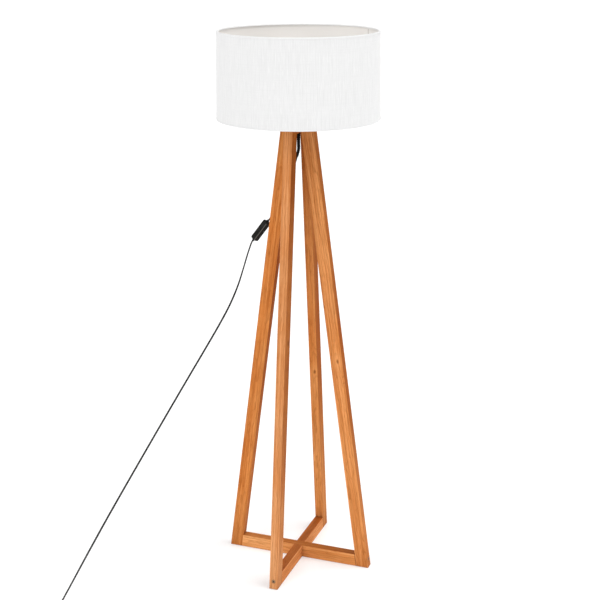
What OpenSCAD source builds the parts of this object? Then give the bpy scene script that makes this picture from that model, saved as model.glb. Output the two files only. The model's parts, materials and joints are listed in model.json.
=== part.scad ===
// Floor lamp: two crossed wooden trapezoid frames carry a slightly tapered drum shade.
// +Z is up, the floor is z = 0 and the shade's axis is the z axis.
// The narrow frame holds the left and right legs, and lies in the xz plane.
// The wide frame holds the front and back legs, and lies in the yz plane.

/* [Frame] */
// Distance from the axis to a leg's outer face at the floor
foot_reach = 222; // [218:0.5:226]
// Distance from the axis to the outer faces of the narrow frame's legs at their top
narrow_reach = 44.5; // [44.5:0.5:46]
// Distance from the axis to the outer faces of the wide frame's legs at their top
wide_reach = 79.5; // [78:0.5:83]
// Height of the legs' top ends above the floor
leg_top = 1330; // [1328:1:1332]
// Width of a leg, measured level in its frame's plane
leg_width = 36.5; // [35:0.5:36.5]
// Thickness of the legs and the rails
leg_thick = 25; // [24:0.5:26]
// Height of the floor rails' top faces
rail_top = 39; // [38:0.5:42]
// Thickness of the glides under the legs
glide_high = 1.5; // [1:0.5:2]

/* [Fasteners] */
// Height of the foot bolts above the floor
foot_bolt_z = 24.5; // [23:0.5:26]
// Radius of the bolts' shanks
bolt_r = 3; // [2.5:0.5:3]
// Radius of the bolts' flat round heads
bolt_head_r = 5.5; // [5:0.5:6]
// Length of a foot bolt's shank
foot_bolt_long = 66; // [62:1:67]
// Length of a head bolt's shank
head_bolt_long = 55; // [52:1:56]
// Radius of the wooden dowels
dowel_r = 3; // [2.5:0.5:3]

/* [Shade] */
// Outer diameter of the shade's lower rim
shade_low_d = 450; // [430:5:480]
// Outer diameter of the shade's upper rim
shade_top_d = 442; // [420:2:450]
// Height of the shade
shade_high = 237; // [230:1:250]
// Height of the shade's lower rim above the floor
shade_low = 1332; // [1330:1:1336]
// Radius of the shade's wire rings and spider arms
wire_r = 1.5; // [1.5:0.25:2]
// Number of spider arms
arm_count = 3; // [3:1:4]

/* [Bulb] */
// Radius of the bulb's globe
globe_r = 30; // [29:0.5:31]

/* [Cord] */
// Width of the flex
cord_d = 5.5; // [5:0.1:5.6]
// Radius of the stored coil at the middle of its turns
coil_r = 31; // [31:0.5:32]
// Width of the flex switch's casing
switch_wide = 20; // [19:0.5:22]
// Roll of the flex switch about its own length
switch_roll = 57; // [50:1:60]

/* [Hidden] */
$fn = 64;
round_fn = 160;
gap = 0.05;

// Frame
floor_dowel_z = 9;
foot_dowel_half = 14;
head_sink = 3;
bolt_head_high = 2.6;
socket_r = 2.3;
socket_deep = 1.8;
nut_r = 5;
nut_long = 14;
nut_inset = 28;
lap_z = (glide_high + rail_top) / 2;
glide_r = 8;
glide_x = foot_reach - leg_width / 2 + 6;
lap_screw_r = 2;
lap_screw_head_r = 3.7;
lap_screw_low = glide_high + 0.4;
lap_screw_top = rail_top - 6;
narrow_angles = [0, 180];
wide_angles = [90, 270];

// Head block, strap and threaded nipple
block_low = leg_top - 33;
head_bolt_z = leg_top - 13;
head_nut_y = 25;
head_pin_r = 2.5;
head_pin_y = 8.2;
head_pin_z = leg_top - 17;
head_pin_half = 24;
wide_dowel_z = leg_top - 26;
wide_dowel_y = 33;
recess_r = 10;
recess_deep = 8;
nipple_r = 5;
nipple_bore_r = 3.75;
nipple_low = block_low + 1;
nipple_top = leg_top + 15;
strap_half = 42;
strap_thick = 3;
strap_wide = 24;
strap_top = leg_top + strap_thick;
strap_screw_x = 26;
strap_screw_r = 2;
strap_screw_head_r = 4.1;
strap_screw_long = 32;
countersink = 2.2;
washer_r = 9.5;
washer_thick = 1.6;
hex_r = 14 / sqrt(3);
hex_high = 4;

// Strain relief and leads
grip_low = 1262;
grip_top_r = 4.2;
grip_tip_r = 3.3;
grip_flange_r = 6.2;
grip_neck_top = nipple_low + 12;
lead_r = 1.05;
lead_y = 1.4;

// Lampholder
cap_low = strap_top + hex_high + 0.2;
cap_high = 19;
cap_wall = 2;
holder_low = cap_low + cap_high;
core_low = cap_low + 14.8;
core_step = core_low + 8.5;
core_top = core_low + 16;
terminal_y = 8;
terminal_r = 2.6;
holder_top = cap_low + 56.8;
holder_r = 19.6;
holder_bore_r = 14.6;
ring_r = 28;
ring_high = 5;
collar_low = cap_low + 30.1;
collar_thick = 1.6;
ring_gap = 0.3;
ring_grip_count = 24;

// Bulb
bulb_tip_low = core_top + 1.8;
bulb_tip_high = 1.5;
bulb_cap_r = 13.2;
bulb_cap_low = bulb_tip_low + 4.7;
bulb_cap_top = bulb_cap_low + 21.5;
bulb_seam = bulb_cap_top + 34;
globe_z = bulb_seam + 13;
led_count = 8;

// Shade, from the outside in: hem tape, cloth, liner and wire
shade_top = shade_low + shade_high;
shade_lean = (shade_low_d - shade_top_d) / 2 / shade_high;
hem_thick = 0.5;
layer_gap = 0.1;
cloth_deep = hem_thick + layer_gap;
cloth_thick = 0.7;
liner_deep = cloth_deep + cloth_thick + layer_gap;
liner_thick = 1.2;
wire_deep = liner_deep + liner_thick + 2 * layer_gap + wire_r;
hem_deep = 6;
cloth_low = shade_low + hem_thick + layer_gap;
cloth_top = shade_top - hem_thick - layer_gap;
arm_z = collar_low + collar_thick / 2;
arm_set_in = shade_lean * (arm_z + wire_r - shade_low);
hem_wide = wire_deep + wire_r + arm_set_in + layer_gap + hem_thick;
collar_in_r = 20.2;
collar_out_r = 31;

// Flex: its route from the strain relief to the switch, and on to the floor
cord_r = cord_d / 2;
cord_sides = 8;
cord_side_ref = [0.857, -0.515, 0];
switch_at = [-126.5, 27, 1000];
switch_lean = 37;
switch_dir = [sin(switch_lean), 0, cos(switch_lean)];
switch_half = 35;
butt_gap = 0.2;
upper_route = [
    [0, 0, grip_low - butt_gap], [0, 0, 1248], [-3.2, 2.6, 1236], [-12.5, 10.5, 1212],
    [-21.5, 16.8, 1190], [-33.5, 22, 1165], [-49, 25.6, 1136], [-69, 27.2, 1101],
    switch_at + (switch_half + 21) * switch_dir,
    switch_at + (switch_half + butt_gap) * switch_dir
];
lower_route = [
    switch_at - (switch_half + butt_gap) * switch_dir,
    switch_at - (switch_half + 11) * switch_dir, [-161.2, 25.9, 944.5], [-169.5, 22, 916],
    [-176.8, 14.5, 885], [-188, 0, 838], [-202.5, -23, 789], [-222, -50, 739],
    [-251, -92, 672], [-283, -138.5, 600], [-321, -193, 514], [-364.5, -256.5, 414],
    [-405, -316, 320], [-444, -374, 228], [-480, -430, 139], [-510, -476.5, 63],
    [-523, -497.5, 30], [-528.3, -506, 17.5], [-533, -514, 9], [-538, -522.5, 4.5],
    [-544, -532.5, 3.2]
];
coil_at = [-526, -562, 0];
coil_half_wide = 6;
coil_low = 1;
coil_high = 11;
tie_thick = 0.8;
tie_wide = 8;
tie_angle = 40;
plug_z = 6.85;
plug_back_x = coil_at.x + 44;
plug_y = coil_at.y - coil_r;
tail_route = [
    [coil_at.x + 16, plug_y, 4.2], [coil_at.x + 24, plug_y, 5], [coil_at.x + 32, plug_y, 6.5],
    [coil_at.x + 38, plug_y, plug_z], [plug_back_x - butt_gap, plug_y, plug_z]
];
route_steps = 3;
rocker_half = 7;
rocker_wide = 8;
rocker_tilt = 7;
rocker_z = 5.2;
rocker_pin_r = 0.75;
rocker_play = 0.4;
casing_wall = 1.6;
casing_corner = 5;
cavity_half_long = 15;
cavity_half_wide = switch_wide / 2 - casing_wall - 1.4;
base_deep = 7;
cover_high = 8;
case_screw_x = 24;
contact_long = 8;
contact_wide = 4;
plug_body_long = 33;
plug_relief_long = 15;
plug_pin_long = 19;
plug_pin_r = 2;
plug_pin_span = 19;
plug_corner = 3;

// Distance from the axis to a leg's outer or inner face, at height z
function outer_at(top_reach, z) = foot_reach - (foot_reach - top_reach) * z / leg_top;
function inner_at(top_reach, z) = outer_at(top_reach, z) - leg_width;

// Outer radius of the shade at height z
function shade_r_at(z) = shade_low_d / 2 - shade_lean * (z - shade_low);

// Smooth curve through the points of a route
function curve_at(a, b, c, d, t) =
    0.5 * (2 * b + (c - a) * t + (2 * a - 5 * b + 4 * c - d) * t * t
        + (3 * b - a - 3 * c + d) * t * t * t);
function route_point(p, i) = p[max(0, min(len(p) - 1, i))];
function smooth(p) = [
    for (i = [0:len(p) - 2], s = [0:route_steps - 1])
        curve_at(route_point(p, i - 1), p[i], p[i + 1], route_point(p, i + 2), s / route_steps),
    p[len(p) - 1]
];
function unit(v) = v / norm(v);
function heading(p, i) = unit(route_point(p, i + 1) - route_point(p, i - 1));

// Round tube swept along points, as one closed solid
module swept_tube(p, r) {
    last = len(p) - 1;
    rings = [
        for (i = [0:last])
            let (d = heading(p, i), u = unit(cross(d, cord_side_ref)), v = cross(d, u))
                for (k = [0:cord_sides - 1])
                    p[i] + r * (cos(360 * k / cord_sides) * u + sin(360 * k / cord_sides) * v)
    ];
    walls = [
        for (i = [0:last - 1], k = [0:cord_sides - 1])
            let (a = i * cord_sides + k, b = i * cord_sides + (k + 1) % cord_sides)
                [a, b, b + cord_sides, a + cord_sides]
    ];
    start_face = [for (k = [cord_sides - 1:-1:0]) k];
    end_face = [for (k = [0:cord_sides - 1]) last * cord_sides + k];
    polyhedron(rings, concat([start_face], walls, [end_face]), convexity = 6);
}

// Round rod between two points
module rod(from, to, r) {
    span = to - from;
    translate(from)
        rotate([0, acos(span.z / norm(span)), atan2(span.y, span.x)])
            cylinder(r = r, h = norm(span));
}

module tube(r_out, r_in, low, high) {
    translate([0, 0, low])
        difference() {
            cylinder(r = r_out, h = high - low);
            translate([0, 0, -1]) cylinder(r = r_in, h = high - low + 2);
        }
}

// Level round bar along +X at height z
module level_bar(r, from, to, z) {
    translate([from, 0, z]) rotate([0, 90, 0]) cylinder(r = r, h = to - from);
}

module upright_bar(r, x, low, high) {
    translate([x, 0, low]) cylinder(r = r, h = high - low);
}

module ring_of_wire(z) {
    translate([0, 0, z])
        rotate_extrude($fn = round_fn)
            translate([shade_r_at(z) - wire_deep, 0]) circle(wire_r, $fn = 16);
}

// Through pins that cross the head block beside the nipple
module head_pins(r, half) {
    for (y = [-head_pin_y, head_pin_y])
        translate([0, y, 0]) level_bar(r, -half, half, head_pin_z);
}

// ---- Wooden frame ----

module leg_blank(top_reach) {
    rotate([90, 0, 0])
        linear_extrude(leg_thick, center = true)
            polygon([
                [outer_at(top_reach, glide_high), glide_high],
                [outer_at(top_reach, leg_top), leg_top],
                [inner_at(top_reach, leg_top), leg_top],
                [inner_at(top_reach, glide_high), glide_high]
            ]);
}

module bolt_hole(top_reach, z) {
    outer = outer_at(top_reach, z);
    level_bar(bolt_r + 0.2, inner_at(top_reach, z) - 2, outer + 2, z);
    level_bar(bolt_head_r + 0.2, outer - head_sink, outer + head_sink, z);
}

module foot_holes(top_reach) {
    bolt_hole(top_reach, foot_bolt_z);
    inner = inner_at(top_reach, floor_dowel_z);
    level_bar(dowel_r + gap, inner - 2, inner + foot_dowel_half + 0.5, floor_dowel_z);
}

module narrow_leg() {
    difference() {
        leg_blank(narrow_reach);
        foot_holes(narrow_reach);
        head_pins(head_pin_r + gap, head_pin_half + 0.5);
        upright_bar(strap_screw_r + gap, strap_screw_x, leg_top - strap_screw_long - 1, leg_top + 1);
    }
}

module wide_leg() {
    difference() {
        leg_blank(wide_reach);
        foot_holes(wide_reach);
        bolt_hole(wide_reach, head_bolt_z);
        level_bar(dowel_r + gap, wide_dowel_y, inner_at(wide_reach, wide_dowel_z) + 14.5, wide_dowel_z);
    }
}

module leg_left() { color("peru") rotate([0, 0, 180]) narrow_leg(); }
module leg_right() { color("peru") narrow_leg(); }
module leg_front() { color("peru") rotate([0, 0, 270]) wide_leg(); }
module leg_back() { color("peru") rotate([0, 0, 90]) wide_leg(); }

module rail_blank(top_reach) {
    low = inner_at(top_reach, glide_high);
    high = inner_at(top_reach, rail_top);
    rotate([90, 0, 0])
        linear_extrude(leg_thick, center = true)
            polygon([[-low, glide_high], [low, glide_high], [high, rail_top], [-high, rail_top]]);
}

module rail_holes(top_reach) {
    inner = inner_at(top_reach, foot_bolt_z);
    dowel_inner = inner_at(top_reach, floor_dowel_z);
    for (angle = narrow_angles) rotate([0, 0, angle]) {
        level_bar(bolt_r + 0.2, inner - nut_inset - 8, inner + 2, foot_bolt_z);
        upright_bar(nut_r + gap, inner - nut_inset, 0, foot_bolt_z + nut_long / 2 + 0.1);
        level_bar(dowel_r + gap, dowel_inner - foot_dowel_half - 0.5, dowel_inner + 2,
            floor_dowel_z);
    }
}

module lap_notch(low, high) {
    translate([-leg_thick / 2, -leg_thick, low]) cube([leg_thick, 2 * leg_thick, high - low]);
}

module floor_rail_narrow() {
    color("peru")
        difference() {
            rail_blank(narrow_reach);
            rail_holes(narrow_reach);
            lap_notch(0, lap_z);
            upright_bar(lap_screw_r + gap, 0, 0, lap_screw_top + 1);
        }
}

module floor_rail_wide() {
    color("peru")
        rotate([0, 0, 90])
            difference() {
                rail_blank(wide_reach);
                rail_holes(wide_reach);
                lap_notch(lap_z, rail_top + 1);
                upright_bar(lap_screw_r + gap, 0, 0, rail_top);
                upright_bar(lap_screw_head_r + 0.3, 0, 0, lap_screw_low + countersink);
            }
}

module bolt(seat, long, z) {
    difference() {
        union() {
            level_bar(bolt_head_r, seat, seat + bolt_head_high, z);
            level_bar(bolt_r, seat - long, seat, z);
        }
        translate([seat + bolt_head_high - socket_deep, 0, z])
            rotate([0, 90, 0]) cylinder(r = socket_r, h = socket_deep + 1, $fn = 6);
    }
}

module barrel_nut(x, z) {
    difference() {
        upright_bar(nut_r, x, z - nut_long / 2, z + nut_long / 2);
        level_bar(bolt_r + gap, x - nut_r - 1, x + nut_r + 1, z);
    }
}

module on_narrow_legs() { for (angle = narrow_angles) rotate([0, 0, angle]) children(); }
module on_wide_legs() { for (angle = wide_angles) rotate([0, 0, angle]) children(); }

module foot_bolts() {
    color("dimgray") {
        on_narrow_legs()
            bolt(outer_at(narrow_reach, foot_bolt_z) - head_sink, foot_bolt_long, foot_bolt_z);
        on_wide_legs()
            bolt(outer_at(wide_reach, foot_bolt_z) - head_sink, foot_bolt_long, foot_bolt_z);
    }
}

module foot_barrel_nuts() {
    color("silver") {
        on_narrow_legs() barrel_nut(inner_at(narrow_reach, foot_bolt_z) - nut_inset, foot_bolt_z);
        on_wide_legs() barrel_nut(inner_at(wide_reach, foot_bolt_z) - nut_inset, foot_bolt_z);
    }
}

module foot_dowel(middle) {
    level_bar(dowel_r, middle - foot_dowel_half, middle + foot_dowel_half, floor_dowel_z);
}

module foot_dowels() {
    color("burlywood") {
        on_narrow_legs() foot_dowel(inner_at(narrow_reach, floor_dowel_z));
        on_wide_legs() foot_dowel(inner_at(wide_reach, floor_dowel_z));
    }
}

module foot_glides() {
    color("black")
        for (angle = concat(narrow_angles, wide_angles)) rotate([0, 0, angle])
            upright_bar(glide_r, glide_x, 0, glide_high);
}

// Wood screw that holds the half-lap together from below
module crossing_screw() {
    color("silver")
        difference() {
            union() {
                upright_bar(lap_screw_r, 0, lap_screw_low, lap_screw_top);
                translate([0, 0, lap_screw_low])
                    cylinder(r1 = lap_screw_head_r, r2 = lap_screw_r, h = 2);
            }
            translate([0, 0, glide_high]) cylinder(r = 1.2, h = 1.6, $fn = 6);
        }
}

// ---- Lamp head ----

module head_block() {
    wide_low = inner_at(wide_reach, block_low);
    wide_high = inner_at(wide_reach, leg_top);
    narrow_low = inner_at(narrow_reach, block_low);
    narrow_high = inner_at(narrow_reach, leg_top);
    color("peru")
        difference() {
            intersection() {
                rotate([90, 0, 90]) linear_extrude(2 * leg_width, center = true)
                    polygon([[-wide_low, block_low], [wide_low, block_low],
                        [wide_high, leg_top], [-wide_high, leg_top]]);
                rotate([90, 0, 0]) linear_extrude(4 * leg_width, center = true)
                    polygon([[-narrow_low, block_low], [narrow_low, block_low],
                        [narrow_high, leg_top], [-narrow_high, leg_top]]);
            }
            upright_bar(nipple_r + 0.1, 0, block_low - 1, leg_top + 1);
            upright_bar(recess_r, 0, block_low - 1, block_low + recess_deep);
            on_wide_legs() {
                level_bar(bolt_r + 0.2, head_nut_y - 8, wide_low + 2, head_bolt_z);
                upright_bar(nut_r + gap, head_nut_y, head_bolt_z - nut_long / 2 - 0.1, leg_top + 1);
                level_bar(dowel_r + gap, wide_dowel_y, wide_low + 2, wide_dowel_z);
            }
            head_pins(head_pin_r + gap, head_pin_half);
        }
}

module head_bolts() {
    color("dimgray")
        on_wide_legs()
            bolt(outer_at(wide_reach, head_bolt_z) - head_sink, head_bolt_long, head_bolt_z);
}

module head_barrel_nuts() { color("silver") on_wide_legs() barrel_nut(head_nut_y, head_bolt_z); }

module head_dowels() {
    color("burlywood") {
        head_pins(head_pin_r, head_pin_half);
        on_wide_legs()
            level_bar(dowel_r, wide_dowel_y + 0.5, inner_at(wide_reach, wide_dowel_z) + 14, wide_dowel_z);
    }
}

module strap_screw() {
    difference() {
        union() {
            upright_bar(strap_screw_r, strap_screw_x, leg_top - strap_screw_long, strap_top);
            translate([strap_screw_x, 0, strap_top - countersink])
                cylinder(r1 = strap_screw_r, r2 = strap_screw_head_r, h = countersink);
        }
        translate([strap_screw_x, 0, strap_top - 1.5]) cylinder(r = 1.4, h = 2, $fn = 6);
    }
}

module head_strap() {
    color("silver")
        difference() {
            translate([-strap_half, -strap_wide / 2, leg_top])
                cube([2 * strap_half, strap_wide, strap_thick]);
            upright_bar(nipple_r + 0.1, 0, leg_top - 1, strap_top + 1);
            on_narrow_legs() {
                upright_bar(strap_screw_r + gap, strap_screw_x, leg_top - 1, strap_top);
                translate([strap_screw_x, 0, strap_top - countersink])
                    cylinder(r1 = strap_screw_r + gap, r2 = strap_screw_head_r + 0.1,
                        h = countersink + 0.01);
            }
        }
}

module strap_screws() { color("gray") on_narrow_legs() strap_screw(); }

module nipple() { color("goldenrod") tube(nipple_r, nipple_bore_r, nipple_low, nipple_top); }

module hex_nut(low) {
    translate([0, 0, low])
        difference() {
            cylinder(r = hex_r, h = hex_high, $fn = 6);
            translate([0, 0, -1]) cylinder(r = nipple_r + gap, h = hex_high + 2);
        }
}

module nipple_nuts() {
    color("silver") {
        hex_nut(block_low + recess_deep - washer_thick - hex_high);
        hex_nut(strap_top);
    }
}

module nipple_washer() {
    washer_top = block_low + recess_deep;
    color("silver") tube(washer_r, nipple_r + 0.2, washer_top - washer_thick, washer_top);
}

// Tapered strain relief, plugged into the nipple from below
module cord_grip() {
    color([0.05, 0.05, 0.05])
        difference() {
            rotate_extrude()
                polygon([
                    [0, grip_low], [grip_tip_r, grip_low], [grip_top_r, nipple_low - 2],
                    [grip_flange_r, nipple_low - 2], [grip_flange_r, nipple_low],
                    [nipple_bore_r - gap, nipple_low],
                    [nipple_bore_r - gap, grip_neck_top], [0, grip_neck_top]
                ]);
            for (side = [-1, 1])
                translate([0, side * lead_y, grip_low + 2]) cylinder(r = lead_r + gap, h = 100);
        }
}

module lead_wires() {
    bend_z = nipple_top + 2;
    color("ivory")
        for (side = [-1, 1]) {
            translate([0, side * lead_y, grip_low + 2]) cylinder(r = lead_r, h = bend_z - grip_low - 2);
            translate([0, side * lead_y, bend_z]) sphere(lead_r, $fn = 32);
            rod([0, side * lead_y, bend_z], [0, side * terminal_y, core_low - 1.1], lead_r);
        }
}

module holder_cap() {
    color([0.06, 0.06, 0.06])
        rotate_extrude()
            polygon([
                [nipple_r + gap, cap_low], [14, cap_low], [18, cap_low + 3], [19.4, cap_low + 8],
                [19.4, holder_low], [17.4, holder_low], [17.4, cap_low + 8.6],
                [16.4, cap_low + 4.6], [13, cap_low + cap_wall], [nipple_r + gap, cap_low + cap_wall]
            ]);
}

// Insulating insert that carries the terminals and the contacts
module holder_core() {
    color("ivory")
        difference() {
            union() {
                upright_bar(17.2, 0, core_low, core_step);
                upright_bar(9, 0, core_low + 8, core_top);
            }
            for (side = [-1, 1])
                translate([0, side * terminal_y, core_low - 1]) cylinder(r = terminal_r + gap, h = 9);
        }
}

module holder_terminals() {
    color("goldenrod")
        for (side = [-1, 1])
            translate([0, side * terminal_y, core_low]) cylinder(r = terminal_r, h = 7.5);
}

module holder_contacts() {
    color("goldenrod") {
        upright_bar(3, 0, core_top, core_top + 1.5);
        translate([11.4, -2.5, core_step]) cube([0.8, 5, 10.5]);
    }
}

module holder_shell() {
    color([0.06, 0.06, 0.06])
        rotate_extrude()
            polygon([
                [17.4, holder_low], [20.8, holder_low], [20.8, collar_low - ring_high - 0.5],
                [holder_r, collar_low - ring_high - 0.5], [holder_r, holder_top - 1],
                [holder_r - 1, holder_top], [holder_bore_r, holder_top],
                [holder_bore_r, core_step + 2], [17.4, core_step + 0.5]
            ]);
}

module holder_screw_shell() {
    color("goldenrod")
        tube(holder_bore_r - 0.2, bulb_cap_r + 0.4, core_top + 2, holder_top - 4);
}

// Collar nut with finger grips that clamps the shade's fitter on the holder
module collar_nut(low) {
    color([0.07, 0.07, 0.07])
        difference() {
            tube(ring_r, holder_r + 0.3, low, low + ring_high);
            for (k = [0:ring_grip_count - 1])
                rotate([0, 0, 360 * k / ring_grip_count])
                    translate([ring_r + 0.6, 0, low - 1])
                        cylinder(r = 1.6, h = ring_high + 2, $fn = 24);
        }
}

module shade_ring_lower() { collar_nut(collar_low - ring_gap - ring_high); }
module shade_ring_upper() { collar_nut(collar_low + collar_thick + ring_gap); }

// ---- Bulb ----

module bulb_tip() {
    color("silver") upright_bar(4.5, 0, bulb_tip_low, bulb_tip_low + bulb_tip_high);
}

module bulb_insulator() {
    color([0.1, 0.1, 0.1])
        translate([0, 0, bulb_tip_low + bulb_tip_high])
            cylinder(r1 = 5.5, r2 = 12.4, h = bulb_cap_low - bulb_tip_low - bulb_tip_high);
}

module bulb_cap() { color("silver") upright_bar(bulb_cap_r, 0, bulb_cap_low, bulb_cap_top); }

module bulb_housing() {
    color("white")
        rotate_extrude()
            polygon([
                [0, bulb_cap_top], [14, bulb_cap_top], [15, bulb_cap_top + 6],
                [21, bulb_cap_top + 19], [27, bulb_seam - 4], [27.4, bulb_seam], [0, bulb_seam]
            ]);
}

module bulb_led_board() {
    board_z = bulb_seam + 0.1;
    color("lightyellow") {
        translate([0, 0, board_z]) cylinder(r = 23, h = 1.4);
        for (k = [0:led_count - 1])
            rotate([0, 0, 360 * k / led_count])
                translate([15, -1.75, board_z + 1.3]) cube([3, 3.5, 0.8]);
    }
}

module bulb_globe() {
    color([0.97, 0.97, 0.94])
        difference() {
            translate([0, 0, globe_z]) sphere(globe_r, $fn = 96);
            translate([0, 0, globe_z]) sphere(globe_r - 1.5, $fn = 96);
            translate([0, 0, bulb_seam - 2 * globe_r]) cylinder(r = 2 * globe_r, h = 2 * globe_r);
        }
}

// ---- Shade ----

// One layer of the shade, from deep to deep + thick under its outer surface
module shade_layer(deep, thick) {
    low = shade_r_at(cloth_low) - deep;
    high = shade_r_at(cloth_top) - deep;
    translate([0, 0, cloth_low])
        difference() {
            cylinder(r1 = low, r2 = high, h = cloth_top - cloth_low, $fn = round_fn);
            translate([0, 0, -1])
                cylinder(r1 = low - thick + shade_lean, r2 = high - thick - shade_lean,
                    h = cloth_top - cloth_low + 2, $fn = round_fn);
        }
}

module shade_liner() { color("white") shade_layer(liner_deep, liner_thick); }
module shade_fabric() { color("white") shade_layer(cloth_deep, cloth_thick); }

module shade_top_ring() { color("white") ring_of_wire(cloth_top - wire_r); }

// Lower wire ring, arms that rise from it and run in to the fitter's collar
module shade_spider() {
    ring_z = cloth_low + wire_r;
    arm_end = shade_r_at(arm_z + wire_r) - wire_deep;
    color("white") {
        ring_of_wire(ring_z);
        tube(collar_out_r, collar_in_r, collar_low, collar_low + collar_thick);
        for (k = [0:arm_count - 1])
            rotate([0, 0, 90 + 360 * k / arm_count]) {
                level_bar(wire_r, collar_out_r - 1.5, arm_end, arm_z);
                translate([arm_end, 0, arm_z]) sphere(wire_r, $fn = 32);
                upright_bar(wire_r, arm_end, ring_z, arm_z);
            }
    }
}

// Edge tape folded over a rim: outer leg, edge and inner leg in one section.
// Its legs lean with the shade.
module hem(edge_z, inward) {
    outer = shade_r_at(edge_z);
    inner = outer - hem_wide;
    lean = -inward * shade_lean * hem_deep;
    leg_z = edge_z + inward * hem_deep;
    fold_z = edge_z + inward * hem_thick;
    rotate_extrude($fn = round_fn)
        polygon([
            [inner, edge_z], [outer, edge_z], [outer + lean, leg_z],
            [outer + lean - hem_thick, leg_z], [outer - hem_thick, fold_z],
            [inner + hem_thick, fold_z], [inner + lean + hem_thick, leg_z], [inner + lean, leg_z]
        ]);
}

module shade_top_hem() { color("white") hem(shade_top, -1); }
module shade_bottom_hem() { color("white") hem(shade_low, 1); }

// ---- Flex, switch and plug ----

module cord_upper() { color([0.05, 0.05, 0.05]) swept_tube(smooth(upper_route), cord_r); }
module cord_lower() { color([0.05, 0.05, 0.05]) swept_tube(smooth(lower_route), cord_r); }
module cord_tail() { color([0.05, 0.05, 0.05]) swept_tube(smooth(tail_route), cord_r); }

module cord_coil() {
    color([0.05, 0.05, 0.05])
        translate(coil_at)
            rotate_extrude()
                translate([coil_r - coil_half_wide, coil_low])
                    square([2 * coil_half_wide, coil_high]);
}

// Band around the turns of the coil
module coil_tie() {
    clear_half = coil_half_wide + 0.15;
    color([0.15, 0.15, 0.15])
        translate(coil_at)
            rotate([90, 0, tie_angle])
                translate([coil_r, 0, -tie_wide / 2])
                    linear_extrude(tie_wide)
                        difference() {
                            translate([-clear_half - tie_thick, 0])
                                square([2 * clear_half + 2 * tie_thick, coil_high + 2.2]);
                            translate([-clear_half - 0.4, tie_thick])
                                square([2 * clear_half + 0.8, coil_high + 2.2 - 2 * tie_thick]);
                        }
}

// Own frame of the switch: x along the flex, z out of the rocker's face
module in_switch() {
    translate(switch_at) rotate([0, switch_lean - 90, 0]) rotate([switch_roll, 0, 0]) children();
}

module casing_outline(inset) {
    half = switch_half - inset;
    side = switch_wide / 2 - inset;
    corner = casing_corner - inset;
    translate([-half, -side]) {
        translate([corner, 0]) square([2 * (half - corner), 2 * side]);
        translate([0, corner]) square([2 * half, 2 * (side - corner)]);
        for (x = [corner, 2 * half - corner], y = [corner, 2 * side - corner])
            translate([x, y]) circle(corner, $fn = 48);
    }
}

module screw_holes(r, low, high) {
    for (x = [-case_screw_x, case_screw_x]) translate([x, 0, low]) cylinder(r = r, h = high - low);
}

// Hollow of the casing, centred on the rocker
module casing_cavity(low, high) {
    translate([-cavity_half_long, -cavity_half_wide, low])
        cube([2 * cavity_half_long, 2 * cavity_half_wide, high - low]);
}

module switch_base() {
    color([0.05, 0.05, 0.05])
        in_switch()
            difference() {
                translate([0, 0, -base_deep]) linear_extrude(base_deep) casing_outline(0);
                casing_cavity(-base_deep + casing_wall, casing_wall);
                screw_holes(1.3, -base_deep - 1, 1);
                screw_holes(2.4, -base_deep - 1, -base_deep + 1.6);
            }
}

module switch_cover() {
    color([0.05, 0.05, 0.05])
        in_switch()
            difference() {
                linear_extrude(cover_high) casing_outline(0);
                casing_cavity(-1, cover_high - casing_wall);
                translate([0, 0, cover_high / 2])
                    cube([2 * (rocker_half + rocker_play), rocker_wide + 2 * rocker_play, cover_high + 2],
                        center = true);
                translate([0, 0, rocker_z]) rotate([90, 0, 0])
                    cylinder(r = rocker_pin_r, h = 2 * cavity_half_wide + 2.4, center = true);
                screw_holes(1.05, -1, 5);
            }
}

// Rocker, drawn tipped to its off position
module switch_rocker() {
    color([0.12, 0.12, 0.12])
        in_switch()
            translate([0, 0, rocker_z])
                rotate([0, -rocker_tilt, 0])
                    rotate([90, 0, 0])
                        linear_extrude(rocker_wide, center = true)
                            difference() {
                                intersection() {
                                    circle(rocker_half);
                                    polygon([[-8, -2], [8, -2], [8, 3.3], [0, 2.2], [-8, 3.3]]);
                                }
                                circle(rocker_pin_r + gap);
                            }
}

module switch_pin() {
    color("silver")
        in_switch() translate([0, 0, rocker_z]) rotate([90, 0, 0])
            cylinder(r = rocker_pin_r, h = 2 * cavity_half_wide + 2.2, center = true);
}

module switch_contacts() {
    color("goldenrod")
        in_switch() for (side = [-1, 1])
            translate([side * contact_long - contact_long / 2, -contact_wide / 2, casing_wall - base_deep])
                cube([contact_long, contact_wide, 1.2]);
}

module switch_screws() {
    color("silver")
        in_switch()
            difference() {
                union() {
                    screw_holes(1, -base_deep + 0.4, 4.5);
                    screw_holes(2.2, -base_deep + 0.4, -base_deep + 1.5);
                }
                for (x = [-case_screw_x, case_screw_x])
                    translate([x, 0, -base_deep]) cylinder(r = 0.9, h = 1, $fn = 6);
            }
}

// Flat two-pin plug that lies beside the coil, with its pins along +X
module plug_body() {
    relief_end = plug_back_x + plug_relief_long;
    color([0.05, 0.05, 0.05])
        translate([0, plug_y, plug_z]) {
            rotate([90, 0, 90]) {
                translate([0, 0, plug_back_x])
                    cylinder(r1 = 3.2, r2 = 4.5, h = plug_relief_long);
                hull() {
                    translate([0, 0, relief_end]) linear_extrude(1) square([12, 9], center = true);
                    translate([0, 0, relief_end + 12]) linear_extrude(1)
                        offset(plug_corner, $fn = 24) square([20, 7], center = true);
                    translate([0, 0, relief_end + plug_body_long - 1]) linear_extrude(1)
                        offset(plug_corner, $fn = 24) square([29, 7.6], center = true);
                }
            }
        }
}

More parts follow.
